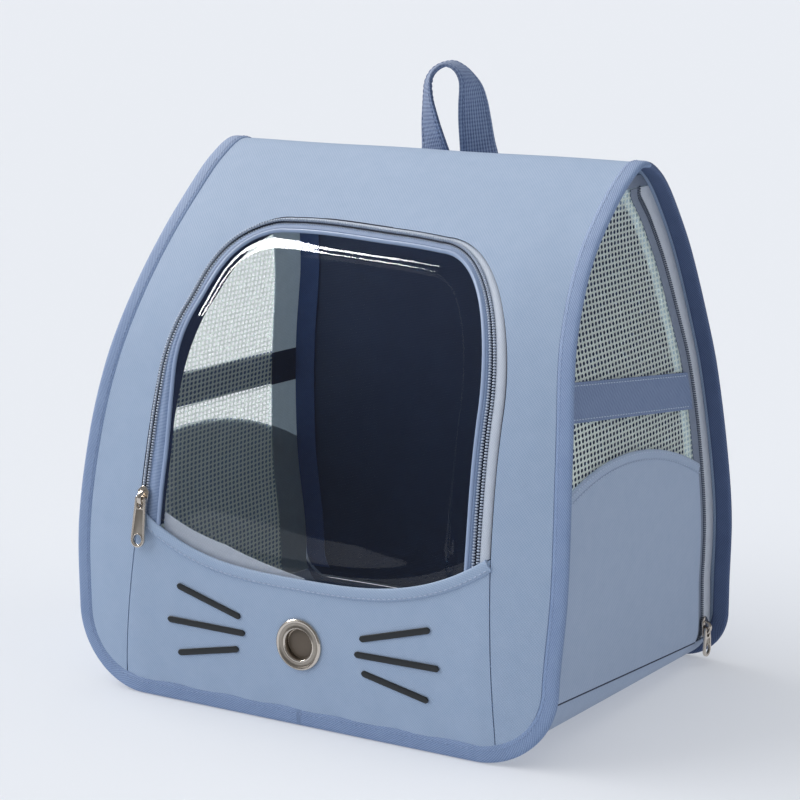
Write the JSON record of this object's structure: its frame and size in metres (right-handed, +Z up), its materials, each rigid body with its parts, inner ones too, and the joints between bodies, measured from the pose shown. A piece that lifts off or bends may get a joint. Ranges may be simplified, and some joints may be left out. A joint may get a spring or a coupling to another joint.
{
  "type": "pet_carrier_backpack",
  "caption": "Pet carrier backpack of pale blue stiff fabric with a clear arched front door, net sides, a whisker print, a metal eyelet, a grab handle and padded shoulder straps.",
  "frame": {"origin": "middle of the bounding box's underside, on the surface that the carrier stands on", "axes": "+Z up, -Y towards the clear front door, +X towards the right side as seen from the front"},
  "size_m": [0.358, 0.2864, 0.3996],
  "materials": {
    "shell_fabric": "stiff coated twill, dull",
    "binding_tape": "folded twill tape",
    "webbing": "ribbed polyester webbing",
    "pad_fabric": "padded woven cloth",
    "net": "open polyester net",
    "lining": "smooth dark lining",
    "mat_felt": "soft felt mat",
    "zip_tape": "fine woven tape",
    "zip_coil": "moulded nylon coil",
    "clear_film": "clear flexible film",
    "nickel": "warm nickel plate",
    "black_print": "raised matt print",
    "disc_plastic": "satin brown-grey",
    "buckle_plastic": "satin moulded plastic"
  },
  "bodies": {
    "carrier": {"wrap_panel": "shell_fabric", "back_lining": "lining", "bib_panel": "shell_fabric", "window_pane": "clear_film", "zip_tape_outer": "zip_tape", "zip_coil": "zip_coil", "zip_tape_inner": "zip_tape", "zip_slider": "nickel", "eyelet": "nickel", "eyelet_disc": "disc_plastic", "base_panel": "shell_fabric", "floor_mat": "mat_felt", "grab_handle": "webbing", "binding_left": "binding_tape", "whisker_left_1": "black_print", "whisker_left_2": "black_print", "whisker_left_3": "black_print", "side_mesh_left": "net", "side_zip_tape_left": "zip_tape", "side_strip_left": "shell_fabric", "side_cap_left": "shell_fabric", "side_pocket_left": "shell_fabric", "side_band_left": "webbing", "side_zip_coil_left": "zip_coil", "side_slider_left": "nickel", "shoulder_pad_left": "pad_fabric", "strap_webbing_left": "webbing", "strap_adjuster_left": "buckle_plastic", "binding_right": "binding_tape", "whisker_right_1": "black_print", "whisker_right_2": "black_print", "whisker_right_3": "black_print", "side_mesh_right": "net", "side_zip_tape_right": "zip_tape", "side_strip_right": "shell_fabric", "side_cap_right": "shell_fabric", "side_pocket_right": "shell_fabric", "side_band_right": "webbing", "side_zip_coil_right": "zip_coil", "side_slider_right": "nickel", "shoulder_pad_right": "pad_fabric", "strap_webbing_right": "webbing", "strap_adjuster_right": "buckle_plastic"},
    "front_pull": {"zip_pull": "nickel"},
    "left_pull": {"side_pull_left": "nickel"},
    "right_pull": {"side_pull_right": "nickel"}
  },
  "joints": [
    {"name": "front_pull_swing", "type": "hinge", "parent": "carrier", "child": "front_pull", "pos_m": [-0.1225, -0.13702, 0.13059], "axis": [-1, 0, 0], "range_deg": [0, 165]},
    {"name": "left_pull_swing", "type": "hinge", "parent": "carrier", "child": "left_pull", "pos_m": [-0.16824, 0.10038, 0.027], "axis": [0, 1, 0], "range_deg": [0, 165]},
    {"name": "right_pull_swing", "type": "hinge", "parent": "carrier", "child": "right_pull", "pos_m": [0.16824, 0.10038, 0.027], "axis": [0, -1, 0], "range_deg": [0, 165]}
  ]
}
